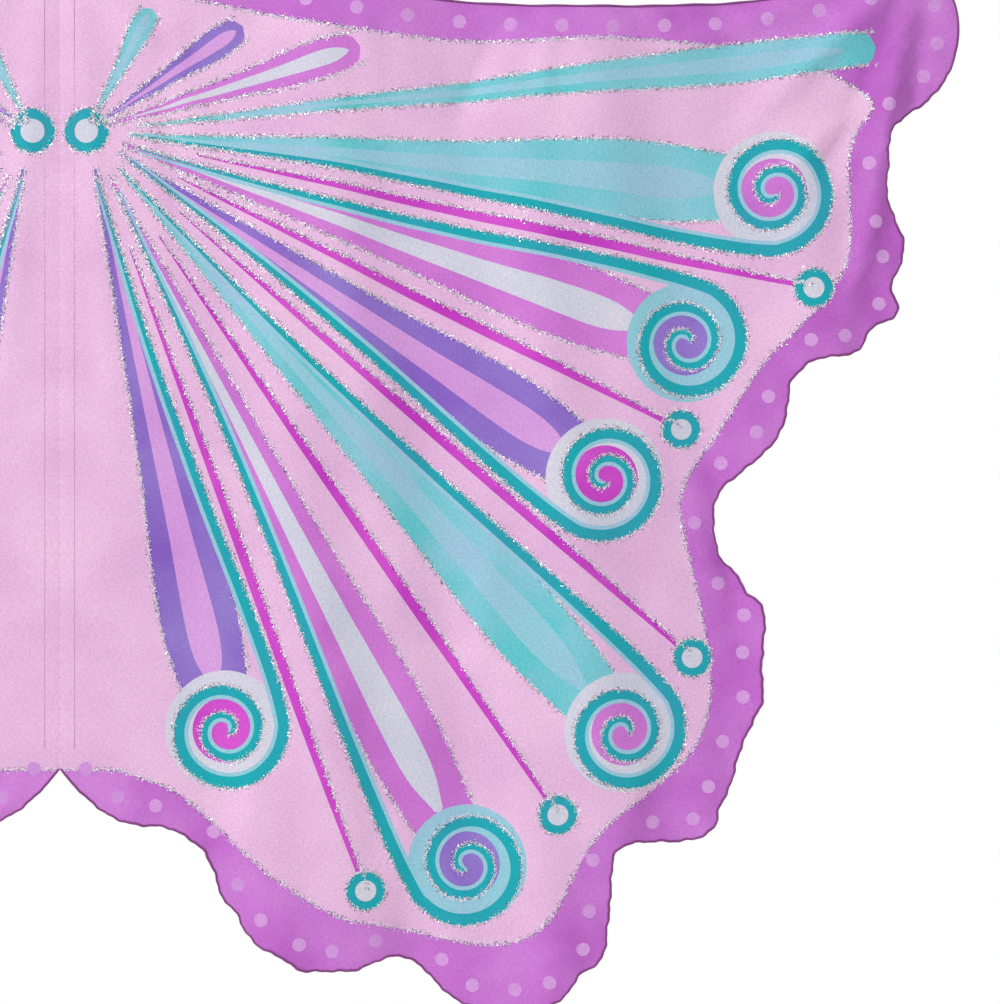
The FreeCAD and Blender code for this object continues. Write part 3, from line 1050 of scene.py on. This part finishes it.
def build_back():
    """Tape, label, elastics and the stitches that hold them."""
    tape = slab_piece("centre_tape", [slab(np.linspace(-TAPE_WIDTH / 2, TAPE_WIDTH / 2, 21),
                                           np.arange(TAPE_TOP, TAPE_BOTTOM + 1, 4.0),
                                           CLOTH_THICKNESS, CLOTH_THICKNESS + TAPE_THICKNESS)],
                      TAPE)
    stand_for(tape, "seam_tape", "back_seam_tape")
    depth = CLOTH_THICKNESS + TAPE_THICKNESS
    lines = []
    for x in (-TAPE_WIDTH / 2 + 2.5, TAPE_WIDTH / 2 - 2.5):
        lines += stitch_line(x, TAPE_TOP + 2, TAPE_BOTTOM - 2, depth)
        lines += stitch_line(x, TAPE_TOP + 2, TAPE_BOTTOM - 2, -0.05)
    seam_stitches = tubes_piece("tape_stitches", lines, 1, [TACK_THREAD])

    label = slab_piece("blank_label", [slab(np.linspace(-LABEL_WIDTH / 2, LABEL_WIDTH / 2, 25),
                                            np.linspace(LABEL_TOP, LABEL_BOTTOM, 17),
                                            depth, depth + LABEL_THICKNESS, label_curl)],
                       LABEL)
    stand_for(label, "label_satin", "care_label")
    label_stitches = tubes_piece(
        "label_stitches",
        [stitch((x, LABEL_TOP + 2), (x + 2, LABEL_TOP + 2), depth + LABEL_THICKNESS)
         for x in np.arange(-LABEL_WIDTH / 2 + 1.5, LABEL_WIDTH / 2 - 3, 2.8)], 1, [TACK_THREAD])
    for piece in (tape, seam_stitches, label, label_stitches):
        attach(piece, "back")

    patch_x = np.linspace(-PATCH_WIDTH / 2, PATCH_WIDTH / 2, 9) + STRAP_X
    patch_drop = np.linspace(-PATCH_HEIGHT / 2, PATCH_HEIGHT / 2, 9)
    for side_name, side in SIDES.items():
        patches = slab_piece(side_name + "_patches",
                             [slab(patch_x, patch_drop + end, CLOTH_THICKNESS, PATCH_BACK)
                              for end in STRAP_ENDS], TAPE, side)
        stand_for(patches, "seam_tape", side_name + "_strap_patches")
        strap = band_piece(side_name + "_arm_elastic", *shoulder_elastic(), side)
        stand_for(strap, "elastic", side_name + "_shoulder_elastic")
        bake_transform(strap)
        top, bottom = STRAP_ENDS
        sewn = bar_tack(STRAP_X, top + 2.6, 8.5, 4.0, PATCH_BACK + STRAP_THICKNESS)
        sewn += bar_tack(STRAP_X, bottom - 2.6, 8.5, 4.0, PATCH_BACK + STRAP_THICKNESS)
        tacks = tubes_piece(side_name + "_arm_tacks", sewn, side, [TACK_THREAD])
        stand_for(tacks, "tack_thread", side_name + "_strap_tacks")
        for piece in (patches, tacks):
            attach(piece, "back")

        loop = band_piece(side_name + "_hand_elastic", *wrist_elastic(), side)
        stand_for(loop, "elastic", side_name + "_wrist_elastic")
        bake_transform(loop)
        half = (WRIST_WIDTH - WRIST_THICKNESS) / 2
        sewn = []
        for way in (-1, 1):
            sewn += bar_tack(WRIST_X + way * half, WRIST_TOP + 2.6, 5.2, 3.0,
                             CLOTH_THICKNESS + 1.5 * WRIST_THICKNESS)
        hand_tacks = tubes_piece(side_name + "_hand_tacks", sewn, side, [TACK_THREAD])
        stand_for(hand_tacks, "tack_thread", side_name + "_wrist_tacks")
        bend(hand_tacks, "outer")


build_back()

# ---- room, light and camera

FLOOR_DROP = 0.26           # from the lowest point of the wings
FLOOR_RADIUS = 1.25
FLOOR_SIDES = 96
VIEW_CENTRE = Vector((0.295, 0.0, -0.3665))
VIEW_HEIGHT = 0.6727
LENS = 100.0
SENSOR = 36.0
WORLD_STRENGTH = 0.46
LIGHT_TARGET = (0.2, 0, -0.35)


def make_floor():
    """A pale disc whose rim glows: painted light, an emission that rises towards the rim, so that
    the floor fades into the white room.
    """
    z = cad_box[0][2] - FLOOR_DROP
    turn = np.linspace(0, 2 * math.pi, FLOOR_SIDES, endpoint=False)
    rim = np.column_stack([FLOOR_RADIUS * np.cos(turn), FLOOR_RADIUS * np.sin(turn),
                           np.full(FLOOR_SIDES, z)])
    material = bpy.data.materials.new("pale_floor_glowing_rim")
    nodes = Nodes(material)
    place = nodes.add("ShaderNodeTexCoord").outputs["Object"]
    flat = nodes.add("ShaderNodeVectorMath", {0: place, 1: (1, 1, 0)}, operation="MULTIPLY")
    reach = nodes.add("ShaderNodeVectorMath", {0: flat.outputs[0]}, operation="LENGTH")
    # painted light: the floor's own glow, rising from the middle to full white at the rim
    fade = nodes.add("ShaderNodeMapRange", {0: reach.outputs["Value"], 1: 0.3 * FLOOR_RADIUS,
                                            2: 0.95 * FLOOR_RADIUS},
                     interpolation_type="SMOOTHSTEP").outputs[0]
    tone = nodes.noise(place, 3.0)
    pale = nodes.mix(tone, linear((244, 243, 242)), linear((238, 237, 236)))
    nodes.link(nodes.mix(fade, pale, linear((0, 0, 0))), "Base Color")
    nodes.link(fade, "Emission Strength")
    nodes.shader.inputs["Emission Color"].default_value = linear((255, 255, 255))
    nodes.shader.inputs["Roughness"].default_value = 0.9
    nodes.shader.inputs["Specular IOR Level"].default_value = 0.0
    floor = new_object("floor", rim, [tuple(range(FLOOR_SIDES))], [material])


def make_light(name, place, target, size, power):
    light = bpy.data.lights.new(name, "AREA")
    light.shape = "DISK"
    light.size = size
    light.energy = power
    lamp = bpy.data.objects.new(name, light)
    lamp.location = place
    lamp.rotation_euler = (Vector(target) - Vector(place)).to_track_quat("-Z", "Y").to_euler()
    bpy.context.scene.collection.objects.link(lamp)


def make_world():
    world = bpy.data.worlds.new("studio")
    world.use_nodes = True
    tree = world.node_tree
    lighting = tree.nodes["Background"]
    lighting.inputs["Color"].default_value = (1, 1, 1, 1)
    lighting.inputs["Strength"].default_value = WORLD_STRENGTH
    seen = tree.nodes.new("ShaderNodeBackground")
    seen.inputs["Color"].default_value = (1, 1, 1, 1)
    seen.inputs["Strength"].default_value = 1.0
    path = tree.nodes.new("ShaderNodeLightPath")
    mix = tree.nodes.new("ShaderNodeMixShader")
    tree.links.new(path.outputs["Is Camera Ray"], mix.inputs[0])
    tree.links.new(lighting.outputs[0], mix.inputs[1])
    tree.links.new(seen.outputs[0], mix.inputs[2])
    tree.links.new(mix.outputs[0], tree.nodes["World Output"].inputs["Surface"])
    bpy.context.scene.world = world


def make_camera():
    data = bpy.data.cameras.new("camera")
    data.lens = LENS
    data.sensor_width = SENSOR
    data.clip_end = 50
    camera = bpy.data.objects.new("camera", data)
    distance = VIEW_HEIGHT * LENS / SENSOR
    camera.location = VIEW_CENTRE + Vector((0, -distance, 0))
    camera.rotation_euler = (math.pi / 2, 0, 0)
    bpy.context.scene.collection.objects.link(camera)
    bpy.context.scene.camera = camera


make_floor()
make_world()
make_light("key", (-1.7, -2.0, 1.5), LIGHT_TARGET, size=0.8, power=65)
make_light("fill", (2.4, -2.0, 0.2), LIGHT_TARGET, size=1.6, power=10)
make_light("back_fill", (0.9, 2.4, 1.2), (0, 0, -0.35), size=1.4, power=32)
make_camera()
bpy.context.scene.view_settings.view_transform = "Standard"
